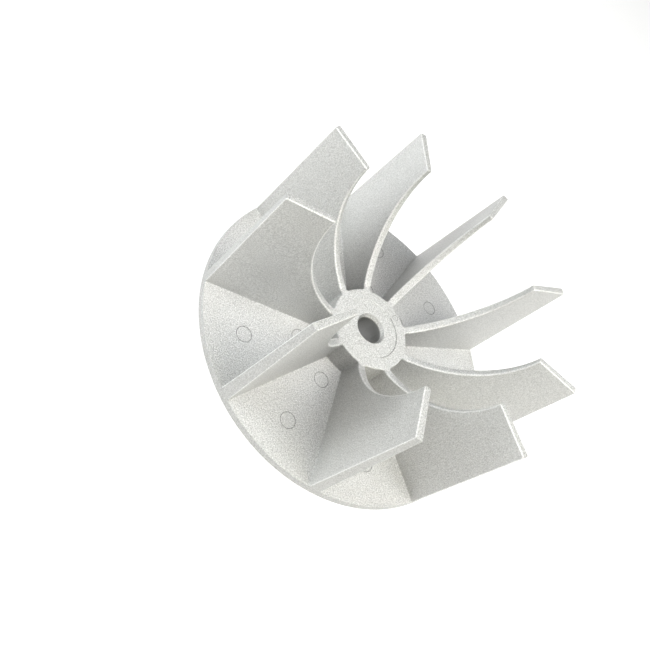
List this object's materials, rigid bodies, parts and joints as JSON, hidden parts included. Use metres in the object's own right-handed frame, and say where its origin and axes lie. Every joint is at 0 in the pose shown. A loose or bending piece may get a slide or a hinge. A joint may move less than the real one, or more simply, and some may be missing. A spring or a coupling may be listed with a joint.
{
  "type": "centrifugal fan impeller",
  "caption": "Open radial impeller of a centrifugal fan, cast in one piece: round back disc, straight blades with concave inlet edges, and a bored hub.",
  "frame": {"origin": "centre of the disc's back face, on the shaft axis; the impeller lies on that face", "axes": "+Z along the shaft axis, out through the air inlet; +X along one blade"},
  "size_m": [0.17, 0.17, 0.0748],
  "materials": {
    "cast_aluminium": "shot-blasted die casting, fine grain, satin"
  },
  "bodies": {
    "root": {"impeller_casting": "cast_aluminium"}
  },
  "joints": []
}
